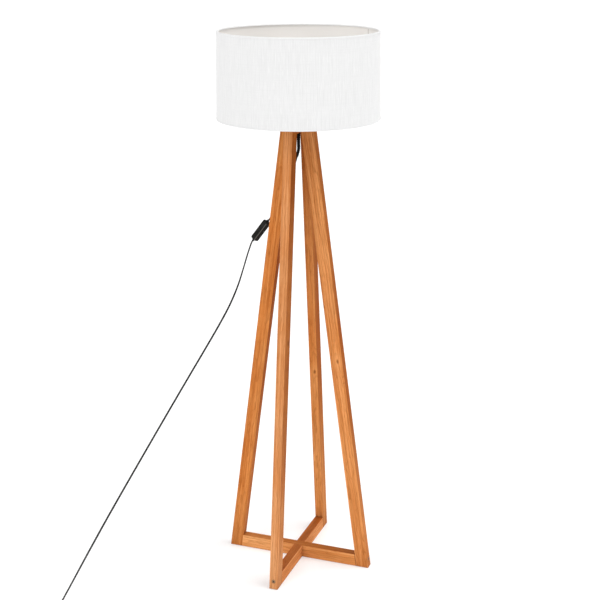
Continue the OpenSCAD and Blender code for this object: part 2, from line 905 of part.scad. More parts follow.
module plug_pins() {
    front = plug_back_x + plug_relief_long + plug_body_long;
    color("silver")
        for (side = [-1, 1])
            translate([0, plug_y + side * plug_pin_span / 2, plug_z]) {
                level_bar(plug_pin_r, front, front + plug_pin_long - 1, 0);
                translate([front + plug_pin_long - 1, 0, 0]) rotate([0, 90, 0])
                    cylinder(r1 = plug_pin_r, r2 = plug_pin_r - 0.7, h = 1);
            }
}

leg_left();
leg_right();
leg_front();
leg_back();
floor_rail_narrow();
floor_rail_wide();
foot_bolts();
foot_barrel_nuts();
foot_dowels();
foot_glides();
crossing_screw();
head_block();
head_bolts();
head_barrel_nuts();
head_dowels();
head_strap();
strap_screws();
nipple();
nipple_nuts();
nipple_washer();
cord_grip();
lead_wires();
holder_cap();
holder_core();
holder_shell();
holder_terminals();
holder_contacts();
holder_screw_shell();
shade_ring_lower();
shade_ring_upper();
bulb_tip();
bulb_insulator();
bulb_cap();
bulb_housing();
bulb_led_board();
bulb_globe();
shade_liner();
shade_fabric();
shade_top_ring();
shade_spider();
shade_top_hem();
shade_bottom_hem();
cord_upper();
switch_base();
switch_cover();
switch_rocker();
switch_pin();
switch_contacts();
switch_screws();
cord_lower();
cord_coil();
coil_tie();
cord_tail();
plug_body();
plug_pins();
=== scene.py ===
"""Floor lamp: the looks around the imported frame.

Units are metres in the row frame: +Z is up, the floor is z = 0, and the shade's axis is the z axis.
"""

import json
import math

import bpy
from mathutils import Matrix, Vector


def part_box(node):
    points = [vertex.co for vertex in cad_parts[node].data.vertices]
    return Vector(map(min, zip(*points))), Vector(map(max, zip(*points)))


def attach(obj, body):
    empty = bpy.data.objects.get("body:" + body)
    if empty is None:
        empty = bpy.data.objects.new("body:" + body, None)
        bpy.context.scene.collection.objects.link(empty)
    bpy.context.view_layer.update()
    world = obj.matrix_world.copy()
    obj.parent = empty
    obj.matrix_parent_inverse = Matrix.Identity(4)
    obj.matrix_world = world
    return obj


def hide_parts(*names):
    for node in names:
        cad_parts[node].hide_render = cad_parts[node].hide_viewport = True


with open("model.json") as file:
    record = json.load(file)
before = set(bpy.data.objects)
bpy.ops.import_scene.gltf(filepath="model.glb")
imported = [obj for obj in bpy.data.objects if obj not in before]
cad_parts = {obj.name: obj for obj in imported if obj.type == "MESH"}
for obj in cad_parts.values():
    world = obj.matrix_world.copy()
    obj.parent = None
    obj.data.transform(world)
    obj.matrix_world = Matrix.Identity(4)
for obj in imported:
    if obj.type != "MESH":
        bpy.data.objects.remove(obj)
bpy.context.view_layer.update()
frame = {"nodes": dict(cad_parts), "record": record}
nodes = frame["nodes"]

MM = 0.001
UP = Vector((0, 0, 1))
QUARTER = math.pi / 2


# ---------------------------------------------------------------- geometry


def piece(name, verts, faces, material, body):
    """A smooth-shaded mesh piece that rides on a body."""
    mesh = bpy.data.meshes.new(name)
    mesh.from_pydata([tuple(v) for v in verts], [], faces)
    mesh.update()
    for polygon in mesh.polygons:
        polygon.use_smooth = True
    mesh.materials.append(material)
    obj = bpy.data.objects.new(name, mesh)
    bpy.context.scene.collection.objects.link(obj)
    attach(obj, body)
    return obj


def mark_sharp(obj, angle=40):
    """Keeps a smooth surface's real corners crisp."""
    obj.data.set_sharp_from_angle(angle=math.radians(angle))


def join(parts):
    """One list of vertices and one of faces from several."""
    verts, faces = [], []
    for v, f in parts:
        faces += [tuple(i + len(verts) for i in face) for face in f]
        verts += v
    return verts, faces


def grid_faces(rows, cols, closed_rows=False, closed_cols=True):
    """Quads over a grid of points stored row by row."""
    faces = []
    for i in range(rows if closed_rows else rows - 1):
        for j in range(cols if closed_cols else cols - 1):
            a, b = i * cols + j, i * cols + (j + 1) % cols
            c, d = ((i + 1) % rows) * cols + (j + 1) % cols, ((i + 1) % rows) * cols + j
            faces.append((a, b, c, d))
    return faces


def lathe(profile, sides):
    """A ring turned round the z axis from a closed outline of (radius, height) points."""
    verts = [
        Vector((r * math.cos(a), r * math.sin(a), z))
        for r, z in profile
        for a in [2 * math.pi * k / sides for k in range(sides)]
    ]
    return verts, grid_faces(len(profile), sides, closed_rows=True)


def cap_faces(count, rows):
    """The two faces that close the ends of a tube of rows of count points."""
    last = count * (rows - 1)
    return [tuple(range(count - 1, -1, -1)), tuple(range(last, last + count))]


def place(part, matrix):
    """The same part, moved."""
    verts, faces = part
    return [matrix @ Vector(v) for v in verts], faces


def catmull(points, steps):
    """A smooth curve through points, with steps spans between neighbours."""
    out = []
    last = len(points) - 1
    for i in range(last):
        a, b = points[max(i - 1, 0)], points[i]
        c, d = points[i + 1], points[min(i + 2, last)]
        for s in range(steps):
            t = s / steps
            out.append(
                0.5
                * (
                    2 * b
                    + (c - a) * t
                    + (2 * a - 5 * b + 4 * c - d) * t * t
                    + (3 * b - a - 3 * c + d) * t**3
                )
            )
    return out + [points[-1]]


def smoothstep(low, high, x):
    """0 before low, 1 after high, and a soft rise between."""
    t = min(1.0, max(0.0, (x - low) / (high - low)))
    return t * t * (3 - 2 * t)


# ---------------------------------------------------------------- camera


def make_camera():
    """The camera stands where the photograph was taken from, and looks down. Gives its place."""
    azimuth, pitch, roll = math.radians(20.123), math.radians(17.203), math.radians(0.132)
    distance, height = 3.3834, 1.8595
    # the lamp's axis stands a little beside the middle of the picture
    aim = azimuth - math.radians(0.049)
    data = bpy.data.cameras.new("camera")
    data.sensor_width = 36
    data.lens = 74.352
    data.clip_end = 100
    obj = bpy.data.objects.new("camera", data)
    bpy.context.scene.collection.objects.link(obj)
    right = Vector((math.cos(aim), math.sin(aim), 0))
    forward = Vector((-math.sin(aim), math.cos(aim), 0))
    look = forward * math.cos(pitch) - UP * math.sin(pitch)
    top = UP * math.cos(pitch) + forward * math.sin(pitch)
    x_axis = right * math.cos(roll) - top * math.sin(roll)
    y_axis = right * math.sin(roll) + top * math.cos(roll)
    turn = Matrix((x_axis, y_axis, -look)).transposed().to_4x4()
    spot = Vector((math.sin(azimuth) * distance, -math.cos(azimuth) * distance, height))
    obj.matrix_world = Matrix.Translation(spot) @ turn
    bpy.context.scene.camera = obj
    return spot


VIEWPOINT = make_camera()


# ---------------------------------------------------------------- materials


class Shader:
    """Builds one material's nodes with short calls."""

    def __init__(self, name, rough=0.5, metal=0.0):
        self.mat = bpy.data.materials.new(name)
        self.mat.use_nodes = True
        self.tree = self.mat.node_tree
        self.out = self.tree.nodes["Principled BSDF"]
        self.set("Roughness", rough)
        self.set("Metallic", metal)

    def set(self, socket, value):
        """Sets a socket of the shader to a number or colour, or links it."""
        if isinstance(value, bpy.types.NodeSocket):
            self.tree.links.new(value, self.out.inputs[socket])
        else:
            self.out.inputs[socket].default_value = value

    def add(self, kind, inputs=(), **settings):
        """A node with its settings and inputs, which are numbers or links."""
        node = self.tree.nodes.new(kind)
        for key, value in settings.items():
            setattr(node, key, value)
        for key, value in dict(inputs).items():
            if isinstance(value, bpy.types.NodeSocket):
                self.tree.links.new(value, node.inputs[key])
            else:
                node.inputs[key].default_value = value
        return node

    def math(self, operation, a, b=0.0):
        return self.add("ShaderNodeMath", {0: a, 1: b}, operation=operation).outputs[0]

    def vector(self, operation, a, b=(0, 0, 0)):
        node = self.add("ShaderNodeVectorMath", {0: a, 1: b}, operation=operation)
        return node.outputs["Value" if operation in ("LENGTH", "DOT_PRODUCT") else "Vector"]

    def remap(self, value, low, high, start=0.0, stop=1.0):
        """Brings the range from start to stop onto the one from low to high."""
        inputs = {"Value": value, "From Min": start, "From Max": stop, "To Min": low, "To Max": high}
        return self.add("ShaderNodeMapRange", inputs).outputs[0]

    def coordinate(self, kind):
        return self.add("ShaderNodeTexCoord").outputs[kind]

    def axis(self, vector, index):
        return self.add("ShaderNodeSeparateXYZ", {0: vector}).outputs[index]

    def openness(self, reach):
        """1 in the open, and less where other surfaces stand within reach."""
        return self.add("ShaderNodeAmbientOcclusion", {"Distance": reach}, samples=4).outputs["AO"]

    def place(self, scale=(1, 1, 1), turn=(0, 0, 0), move=(0, 0, 0), source=None):
        """Texture coordinates, from the object's own unless a source is given."""
        if source is None:
            source = self.coordinate("Object")
        return self.add(
            "ShaderNodeMapping",
            {"Vector": source, "Scale": scale, "Rotation": turn, "Location": move},
        ).outputs[0]

    def noise(self, where, scale=1.0, detail=2.0, rough=0.5):
        inputs = {"Vector": where, "Scale": scale, "Detail": detail, "Roughness": rough}
        return self.add("ShaderNodeTexNoise", inputs).outputs["Fac"]

    def ramp(self, value, *stops):
        """A grey ramp: stops are (position, grey)."""
        node = self.add("ShaderNodeValToRGB", {"Fac": value})
        elements = node.color_ramp.elements
        while len(elements) < len(stops):
            elements.new(0.5)
        for element, (at, grey) in zip(elements, stops):
            element.position = at
            element.color = (grey, grey, grey, 1)
        return node.outputs["Color"]

    def mix(self, fac, a, b, blend="MIX"):
        """Mixes two colours."""
        node = self.add("ShaderNodeMix", data_type="RGBA", blend_type=blend)
        for index, value in ((0, fac), (6, a), (7, b)):
            if isinstance(value, bpy.types.NodeSocket):
                self.tree.links.new(value, node.inputs[index])
            elif index == 0:
                node.inputs[index].default_value = value
            else:
                node.inputs[index].default_value = (*value, 1)
        return node.outputs[2]

    def tone(self, colour, other, value, none, full, share=1.0, blend="MIX"):
        """Brings another colour in: not where value is none, and by share where it is full."""
        fac = self.ramp(value, *sorted([(none, 0.0), (full, 1.0)]))
        if share != 1.0:
            fac = self.math("MULTIPLY", fac, share)
        return self.mix(fac, colour, other, blend)

    def bump(self, height, strength, depth):
        node = self.add("ShaderNodeBump", {"Height": height, "Strength": strength, "Distance": depth})
        self.set("Normal", node.outputs[0])


# the wood's own colours; the knot's colour also paints shade in the joints
WOOD_LIGHT = (0.79, 0.352, 0.131)
WOOD_WARM = (0.62, 0.215, 0.058)
WOOD_DARK = (0.27, 0.078, 0.015)
WOOD_PALE = (0.90, 0.46, 0.20)
WOOD_BRIGHT = (0.90, 0.44, 0.18)
KNOT_AND_JOINT_SHADE = (0.13, 0.042, 0.012)
# tints it is multiplied by: painted shade where the legs crowd together, single boards, and painted
# shade on the legs' sides and the rails' tops
CROWD_SHADE = (0.42, 0.32, 0.20)
PLAIN = (1.0, 1.0, 1.0)
HONEY = (0.91, 0.79, 0.59)
AMBER = (0.97, 0.92, 0.78)
LEG_SIDE_SHADE = (0.54, 0.38, 0.18)
RAIL_TOP_SHADE = (0.60, 0.46, 0.30)
GLUE_GAP_SHADE = 2.6 * MM


def wood(
    name, turn, heart, shift=0.0, tint=PLAIN, knot=None, upright=True,
    slope=(0.012, -0.015), bold=0.36, ends=None,
):
    """Oiled solid wood.

    turn brings the board's length to z, and heart is the tree's centre in that frame; slope tilts
    the rings against the board, and bold is their strength. shift moves the figure along the board.
    knot is a knot's x, y, z and size before the shift. Legs are upright, rails are not. ends gives
    the axis, lean and reach of a rail's + end, where a dark line is painted as the shade of an open
    glue line.
    """
    s = Shader(name, rough=0.5)
    grain = s.place(turn=turn, move=(0, 0, shift))
    drift = s.add("ShaderNodeTexNoise", {"Vector": s.place((11, 11, 1.7), source=grain), "Detail": 2.0})
    bend = s.vector("SUBTRACT", drift.outputs["Color"], (0.5, 0.5, 0.5))
    bent = s.vector("ADD", grain, s.vector("MULTIPLY", bend, (0.024, 0.024, 0)))
    if knot:
        # the fibres swerve round the knot, whose own outline is uneven
        away = s.vector("SUBTRACT", grain, (knot[0], knot[1], knot[2] + shift))
        away = s.vector("ADD", away, s.vector("MULTIPLY", bend, (0.008, 0.008, 0.02)))
        away = s.place((1, 1, 0.5), source=away)
        gap = s.math("DIVIDE", s.vector("LENGTH", away), knot[3])
        pull = s.ramp(s.math("MULTIPLY", gap, 26.0), (0.0, 1.0), (1.0, 0.0))
        bent = s.vector("ADD", bent, s.vector("MULTIPLY", pull, (0.012, 0.009, 0)))
    rings = s.add(
        "ShaderNodeTexWave",
        {
            "Vector": s.place(turn=(*slope, 0), move=(-heart[0], -heart[1], 0), source=bent),
            "Scale": 58.0,
            "Distortion": 0.9,
            "Detail": 2.0,
            "Detail Scale": 0.8,
        },
        wave_type="RINGS",
        rings_direction="Z",
        wave_profile="SAW",
    ).outputs["Fac"]
    # the figure from coarse to fine; the scales run across, across and along the grain
    cloud = s.noise(s.place((9, 9, 2.4), source=grain))
    patch = s.noise(s.place((6, 6, 4.5), move=(0, 0, 5), source=grain), detail=3)
    bands = s.noise(s.place((42, 42, 0.9), source=bent))
    streaks = s.noise(s.place((190, 190, 2.6), source=grain), detail=3, rough=0.65)
    fibres = s.noise(s.place((900, 900, 11), source=grain))
    pores = s.noise(s.place((1900, 1900, 42), source=grain), detail=1)
    colour = s.tone(WOOD_LIGHT, WOOD_WARM, cloud, 0.34, 0.66, 0.9)
    colour = s.tone(colour, WOOD_PALE, patch, 0.48, 0.62, 0.5)
    colour = s.tone(colour, WOOD_WARM, bands, 0.42, 0.62, 0.42)
    late = s.ramp(rings, (0.0, 0.0), (0.60, 0.08), (0.92, 1.0), (1.0, 0.0))
    colour = s.mix(s.math("MULTIPLY", late, bold), colour, WOOD_DARK)
    colour = s.tone(colour, WOOD_DARK, streaks, 0.48, 0.68, 0.38)
    colour = s.tone(colour, WOOD_BRIGHT, streaks, 0.46, 0.32, 0.55)
    colour = s.tone(colour, WOOD_DARK, fibres, 0.38, 0.72, 0.36)
    colour = s.tone(colour, WOOD_DARK, pores, 0.58, 0.70, 0.6)
    if knot:
        halo = s.ramp(s.math("MULTIPLY", gap, 55.0), (0.0, 0.0), (0.3, 0.22), (1.0, 0.0))
        core = s.ramp(s.math("MULTIPLY", gap, 240.0), (0.0, 1.0), (0.45, 0.75), (1.0, 0.0))
        colour = s.mix(halo, colour, WOOD_PALE)
        colour = s.mix(s.math("MULTIPLY", core, 0.8), colour, KNOT_AND_JOINT_SHADE)
    # painted shade: the legs' sides are darker, less so near the floor where it throws light back up,
    # and so are the rails' tops
    facing = s.math("ABSOLUTE", s.axis(s.coordinate("Normal"), 0 if upright else 2))
    quarter = s.ramp(facing, (0.35, 0.0), (0.75, 1.0))
    if upright:
        height = s.axis(s.coordinate("Object"), 2)
        quarter = s.math("MULTIPLY", quarter, s.remap(height, 0.25, 1.0, start=0.08, stop=0.5))
    tint_in_shade = tuple(a * b for a, b in zip(tint, LEG_SIDE_SHADE if upright else RAIL_TOP_SHADE))
    colour = s.mix(1.0, colour, s.mix(quarter, tint, tint_in_shade), blend="MULTIPLY")
    if upright:
        # painted shade where the legs crowd together under the shade
        colour = s.tone(colour, CROWD_SHADE, s.openness(160 * MM), 0.85, 0.35, 0.55, blend="MULTIPLY")
    # painted shade in the joints and corners, where other surfaces stand within 10 mm
    colour = s.tone(colour, KNOT_AND_JOINT_SHADE, s.openness(10 * MM), 0.72, 0.30, 0.75 if upright else 0.35)
    if ends:
        # painted shade: a dark line as if one end's glue line stood open a little; it follows the lean
        # of the leg
        axis, lean, reach = ends
        where = s.coordinate("Object")
        out = s.math("ADD", s.axis(where, axis), s.math("MULTIPLY", s.axis(where, 2), math.tan(lean)))
        into = s.math("DIVIDE", s.math("SUBTRACT", out, reach - GLUE_GAP_SHADE), GLUE_GAP_SHADE)
        colour = s.tone(colour, KNOT_AND_JOINT_SHADE, into, 0.0, 0.5, 0.85)
    s.set("Base Color", colour)
    s.set("Roughness", s.remap(fibres, 0.42, 0.62))
    s.set("Specular IOR Level", 0.02)
    relief = s.math("ADD", s.math("MULTIPLY", fibres, 0.7), s.math("MULTIPLY", pores, -0.5))
    s.bump(relief, 0.25, 0.2 * MM)
    return s.mat


def plastic(name, colour, rough, grain=0.5, scale=1800.0, shine=0.35, wear_and_highlight=()):
    """Moulded plastic with a fine spark-eroded grain and faint handling marks.

    The listed edge directions are painted paler: partly rubbed wear, partly a painted highlight along
    those edges.
    """
    s = Shader(name, rough=rough)
    where = s.place()
    fine = s.noise(where, scale=scale)
    marks = s.noise(where, scale=60.0, detail=4, rough=0.65)
    paint = s.tone(colour, tuple(c * 0.72 for c in colour), marks, 0.35, 0.7)
    # rubbed wear mixed with a painted highlight, on faces that point along a listed edge
    for edge in wear_and_highlight:
        near = s.vector("DOT_PRODUCT", s.coordinate("Normal"), edge)
        rubbed_and_lit = s.math("MULTIPLY", s.ramp(near, (0.90, 0.0), (0.985, 1.0)), s.remap(marks, 0.4, 1.0))
        paint = s.mix(rubbed_and_lit, paint, PALE_WEAR_AND_HIGHLIGHT)
    s.set("Base Color", paint)
    s.set("Roughness", s.remap(marks, rough - 0.08, rough + 0.12))
    s.set("Specular IOR Level", shine)
    s.bump(fine, grain, 0.08 * MM)
    return s.mat


def metal(name, colour, rough, mottle=0.25, sockets=False):
    """Metal with a finely lined, mottled plating. In sockets the plating is painted dark, as painted
    shade.
    """
    s = Shader(name, rough=rough, metal=1.0)
    lines = s.noise(s.place(), scale=900.0, detail=3)
    blotch = s.noise(s.place(), scale=160.0, detail=3)
    plating = s.tone(colour, tuple(c * (1 - mottle) for c in colour), blotch, 0.3, 0.75)
    if sockets:
        # painted shade where the socket's walls stand close
        plating = s.tone(plating, SOCKET_SHADE, s.openness(4 * MM), 0.72, 0.35, 0.95)
    s.set("Base Color", plating)
    s.set("Roughness", s.remap(lines, rough - 0.1, rough + 0.15))
    s.bump(lines, 0.15, 0.05 * MM)
    return s.mat


def cloth(name, light, soft, painted_glow):
    """White slub linen: fine threads both ways, with thicker ones that run down the cloth."""
    s = Shader(name, rough=0.88)
    uv = s.add("ShaderNodeUVMap", uv_map="cloth").outputs[0]
    down = s.noise(s.place((330, 13, 1), source=uv), detail=3, rough=0.6)
    across = s.noise(s.place((12, 330, 1), source=uv), detail=3, rough=0.6)
    slub = s.noise(s.place((700, 30, 1), move=(3, 7, 0), source=uv), detail=1)
    cloud = s.noise(s.place((22, 22, 1), source=uv))
    weave = {"Vector": uv, "Scale": 420.0, "Distortion": 0.8, "Detail Scale": 60.0}
    warp = s.add("ShaderNodeTexWave", weave, bands_direction="X").outputs["Fac"]
    weft = s.add("ShaderNodeTexWave", weave, bands_direction="Y").outputs["Fac"]
    threads = s.math("MAXIMUM", warp, weft)
    colour = s.tone(light, soft, down, 0.42, 0.64, 0.5)
    colour = s.tone(colour, soft, across, 0.45, 0.66, 0.22)
    colour = s.tone(colour, SLUB, slub, 0.60, 0.70, 0.3)
    colour = s.tone(colour, THREAD_GAP, threads, 0.6, 0.1, 0.22)
    colour = s.mix(s.math("MULTIPLY", cloud, 0.10), colour, soft)
    s.set("Base Color", colour)
    s.set("Sheen Weight", 0.35)
    s.set("Sheen Roughness", 0.5)
    s.set("Specular IOR Level", 0.2)
    # painted light: the cloth glows a little of its own colour, though the bulb is off
    s.set("Emission Color", colour)
    s.set("Emission Strength", painted_glow)
    relief = s.math("ADD", threads, s.math("MULTIPLY", s.math("ADD", down, across), 1.2))
    s.bump(relief, 0.35, 0.3 * MM)
    return s.mat


def lining():
    """Satin laminate inside the shade, slightly warm, with faint rolling marks."""
    s = Shader("shade_lining_film", rough=0.45)
    wave = s.noise(s.place((8, 8, 2)))
    fine = s.noise(s.place(), scale=900.0)
    s.set("Base Color", s.tone((0.782, 0.763, 0.734), (0.757, 0.738, 0.714), wave, 0.3, 0.7))
    s.set("Specular IOR Level", 0.35)
    s.bump(s.math("ADD", fine, s.math("MULTIPLY", wave, 2.0)), 0.12, 0.2 * MM)
    return s.mat


def opal():
    """Frosted diffuser of the bulb."""
    s = Shader("opal_diffuser", rough=0.28)
    blotch = s.noise(s.place(), scale=40.0)
    s.set("Base Color", s.mix(blotch, (0.95, 0.945, 0.93), (0.90, 0.895, 0.88)))
    s.set("Subsurface Weight", 0.25)
    s.set("Subsurface Radius", (0.004, 0.004, 0.003))
    s.bump(s.noise(s.place(), scale=700.0), 0.05, 0.1 * MM)
    return s.mat


# the pale of rubbed edges, which also paints their highlight
PALE_WEAR_AND_HIGHLIGHT = (0.16, 0.15, 0.135)
SOCKET_SHADE = (0.03, 0.012, 0.004)
SLUB = (0.84, 0.84, 0.835)
THREAD_GAP = (0.62, 0.62, 0.61)
JET = (0.0075, 0.0068, 0.0055)

BLACK = plastic("black_moulding", JET, 0.42, shine=0.16)
BLACK_SATIN = plastic("black_holder", (0.016, 0.016, 0.016), 0.34, grain=0.3)
IVORY = plastic("ivory_moulding", (0.72, 0.69, 0.60), 0.35)
WHITE = plastic("white_moulding", (0.86, 0.86, 0.85), 0.35, grain=0.25)
SHEATH = plastic("flex_sheath", (0.010, 0.011, 0.011), 0.40, grain=0.25, scale=900.0, shine=0.3)
RUBBER = plastic("relief_rubber", (0.005, 0.005, 0.005), 0.55, grain=0.4, shine=0.1)
GLIDE = plastic("glide_pad", (0.035, 0.032, 0.030), 0.85, grain=0.9, scale=700.0, shine=0.1)
LACQUER = plastic("white_lacquer", (0.84, 0.84, 0.83), 0.35, grain=0.2)
SEAM_GREY_AND_SHADE = plastic("liner_tape_and_lap_shade", (0.60, 0.57, 0.54), 0.5, grain=0.3, scale=900.0)
TIE = plastic("tie_film", (0.012, 0.012, 0.012), 0.30, grain=0.6, scale=500.0)
ZINC = metal("zinc_plate", (0.60, 0.60, 0.60), 0.35)
BOLT = metal("browned_bolt", (0.33, 0.21, 0.12), 0.45, mottle=0.35, sockets=True)
BRASS = metal("brass_part", (0.72, 0.52, 0.24), 0.30)
NICKEL = metal("nickel_plate", (0.72, 0.71, 0.69), 0.22)
LINEN = cloth("shade_linen", light=(0.68, 0.68, 0.68), soft=(0.60, 0.60, 0.599), painted_glow=0.11)
EDGING = cloth("shade_edging", light=(0.70, 0.70, 0.70), soft=(0.64, 0.64, 0.64), painted_glow=0.10)
LINING = lining()
OPAL = opal()

# how far each frame's legs lean inward over their height, in millimetres
LEG_HEIGHT = 1330
LEAN_NARROW = math.atan(177.5 / LEG_HEIGHT)
LEAN_WIDE = math.atan(142.5 / LEG_HEIGHT)


def rail_end(name, axis, lean):
    """Where a rail's slanted end meets its leg, measured along the axis at the floor."""
    low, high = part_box(name)
    return axis, lean, high[axis] + low[2] * math.tan(lean)


WOODS = {
    "leg_right": wood(
        "wood_leg_right", (0, LEAN_NARROW, 0), (0.27, 0.045), 0.3, tint=(1.02, 0.99, 0.92),
        knot=(0.205, -0.0125, 0.624, 1.0), slope=(-0.02, 0.03), bold=0.48,
    ),
    "leg_left": wood("wood_leg_left", (0, -LEAN_NARROW, 0), (-0.26, 0.045), 1.7, tint=HONEY),
    "leg_front": wood(
        "wood_leg_front", (LEAN_WIDE, 0, 0), (0.05, -0.27), 2.9, tint=(0.97, 1.0, 1.10),
        knot=(0.0125, -0.199, 0.704, 1.7),
    ),
    "leg_back": wood(
        "wood_leg_back", (-LEAN_WIDE, 0, 0), (-0.05, 0.30), 4.1, tint=AMBER,
        knot=(0.003, 0.184, 0.532, 1.1),
    ),
    "floor_rail_narrow": wood(
        "wood_rail_narrow", (0, QUARTER, 0), (0.03, 0.06), 5.2, tint=(1.02, 1.06, 1.04),
        upright=False, ends=rail_end("floor_rail_narrow", 0, LEAN_NARROW),
    ),
    "floor_rail_wide": wood(
        "wood_rail_wide", (QUARTER, 0, 0), (0.05, 0.04), 6.4, tint=(0.96, 0.92, 0.90),
        upright=False, ends=rail_end("floor_rail_wide", 1, LEAN_WIDE),
    ),
    "head_block": wood("wood_block", (QUARTER, 0, 0), (0.06, 1.36), 7.3),
}
BEECH = wood("wood_dowel", (0, QUARTER, 0), (0.02, 0.02), 8.5)

SLOT_MATERIALS = {
    "beech_dowel": BEECH,
    "blackened_steel": BOLT,
    "zinc_steel": ZINC,
    "brass": BRASS,
    "black_plastic": BLACK,
    "ivory_plastic": IVORY,
    "flex": SHEATH,
    "bulb_metal": NICKEL,
    "white_plastic": WHITE,
    "opal": OPAL,
    "shade_lining": LINING,
    "shade_cloth": LINEN,
    "white_metal": LACQUER,
    "glide_felt": GLIDE,
}


def weld(names):
    """Joins the doubled points of CAD nodes by a modifier, which also drops their empty triangles."""
    for name in names:
        joined = nodes[name].modifiers.new("weld", "WELD")
        joined.merge_threshold = 0.01 * MM


def soften(names, width):
    """Rounds the sharp edges of CAD nodes by modifiers."""
    weld(names)
    for name in names:
        bevel = nodes[name].modifiers.new("bevel", "BEVEL")
        bevel.width = width
        bevel.segments = 2
        bevel.limit_method = "ANGLE"
        bevel.angle_limit = math.radians(50)
        bevel.harden_normals = True


def dress_frame():
    """Gives each CAD node its finish, and softens the edges of the wood and the casings."""
    for part in frame["record"]["subparts"]:
        obj = nodes[part["node"]]
        finish = WOODS.get(part["node"]) or SLOT_MATERIALS[part["material_slot"]]
        for slot in obj.material_slots:
            slot.material = finish
    weld(("bulb_globe", "shade_spider"))
    soften(WOODS, 1.1 * MM)
    soften(("switch_base", "switch_rocker", "plug_body"), 0.7 * MM)
    soften(("foot_bolts", "head_bolts", "shade_ring_lower", "shade_ring_upper"), 0.35 * MM)
    for name in ("holder_cap", "holder_shell"):
        for slot in nodes[name].material_slots:
            slot.material = BLACK_SATIN
    nodes["cord_grip"].material_slots[0].material = RUBBER


dress_frame()


# ---------------------------------------------------------------- flex

FLEX_WIDE = 5.4 * MM
FLEX_THICK = 3.4 * MM
GRIP_LOW = 1.262
BUTT_GAP = 0.2 * MM
HEAD_BOOT_TOP = 1.2955
SWITCH_HALF, SWITCH_SIDE_AT, SWITCH_FACE_AT = 35 * MM, 10 * MM, 8 * MM
SWITCH_AT = Vector((-0.1265, 0.027, 1.0))
SWITCH_LEAN = math.radians(37)
# along the switch, across it, and out of its rocker face, as it hangs
SWITCH_DIR = Vector((math.sin(SWITCH_LEAN), 0, math.cos(SWITCH_LEAN)))
SWITCH_SIDE = Vector((-0.669792, 0.544639, 0.504725))
SWITCH_OUT = SWITCH_DIR.cross(SWITCH_SIDE)
COIL_AT = Vector((-0.526, -0.562, 0))
COIL_OUTER, COIL_INNER, COIL_MIDDLE = 33.8 * MM, 28.3 * MM, 31 * MM
COIL_LOW, COIL_HIGH = 1.9 * MM, 5.5 * MM
COIL_START, COIL_END = 149, 990
COIL_STEP = 10
FLAT_DROP = 1.2 * MM
PLUG_Z = 6.85 * MM
PLUG_LENGTH = 48 * MM
PIN_SPAN = 19 * MM
PLUG_BACK = COIL_AT + Vector((0.044, -COIL_MIDDLE, PLUG_Z))
CURVE_STEPS = 4

UPPER_ROUTE = [
    (0, 0, GRIP_LOW - BUTT_GAP), (0, 0, 1.248), (-0.0032, 0.0026, 1.236),
    (-0.0125, 0.0105, 1.212), (-0.0215, 0.0168, 1.190), (-0.0335, 0.022, 1.165),
    (-0.049, 0.0256, 1.136), (-0.069, 0.0272, 1.101),
]
SWITCH_ROUTE = [0.056, SWITCH_HALF + BUTT_GAP, 0, -SWITCH_HALF - BUTT_GAP, -0.046]
LOWER_ROUTE = [
    (-0.1612, 0.0259, 0.9445), (-0.1695, 0.022, 0.916), (-0.1768, 0.0145, 0.885),
    (-0.188, 0, 0.838), (-0.2025, -0.023, 0.789), (-0.222, -0.050, 0.739),
    (-0.251, -0.092, 0.672), (-0.283, -0.1385, 0.600), (-0.321, -0.193, 0.514),
    (-0.3645, -0.2565, 0.414), (-0.405, -0.316, 0.320), (-0.444, -0.374, 0.228),
    (-0.480, -0.430, 0.139), (-0.510, -0.4765, 0.063), (-0.523, -0.4975, 0.030),
    (-0.5283, -0.506, 0.0175), (-0.533, -0.514, 0.009), (-0.538, -0.5225, 0.0045),
    (-0.544, -0.5325, 0.0032),
]
TAIL_ROUTE = [
    (0.016, 0.0056), (0.024, 0.0059), (0.032, 0.0065), (0.038, PLUG_Z), (0.0438, PLUG_Z),
]


def coil_route():
    """The stored turns: outside, then inside, then on top of them to the plug. Angles in degrees."""
    points = []
    for angle in range(COIL_START + 6, COIL_END + 1, COIL_STEP):
        radius = COIL_OUTER + (COIL_INNER - COIL_OUTER) * smoothstep(425, 500, angle)
        radius += (COIL_MIDDLE - COIL_INNER) * smoothstep(765, 830, angle)
        height = COIL_LOW + (COIL_HIGH - COIL_LOW) * smoothstep(735, 785, angle)
        a = math.radians(angle)
        points.append(COIL_AT + Vector((radius * math.cos(a), radius * math.sin(a), height)))
    return points


def flex_path():
    """The whole flex, from the strain relief through the switch and the coil to the plug."""
    path = [Vector(p) for p in UPPER_ROUTE]
    path += [SWITCH_AT + SWITCH_DIR * d for d in SWITCH_ROUTE]
    for p in LOWER_ROUTE:
        # the flat flex lies lower on the floor than a round one of the same width
        path.append(Vector(p) - Vector((0, 0, FLAT_DROP * (1 - smoothstep(0.004, 0.03, p[2])))))
    path += coil_route()
    path += [COIL_AT + Vector((x, -COIL_MIDDLE, z)) for x, z in TAIL_ROUTE]
    return catmull(path, CURVE_STEPS)


def flex_section():
    """Outline of the flat twin flex: two cores side by side with a groove between them."""
    lobe = FLEX_THICK / 2
    centre = FLEX_WIDE / 2 - lobe
    spread, steps = 225, 8
    points = []
    for side in (1, -1):
        for k in range(steps + 1):
            a = math.radians(spread * (k / steps - 0.5))
            points.append((side * (centre + lobe * math.cos(a)), side * lobe * math.sin(a)))
    return points


def heading(path, i):
    """The way the path runs at one of its points."""
    return (path[min(i + 1, len(path) - 1)] - path[max(i - 1, 0)]).normalized()


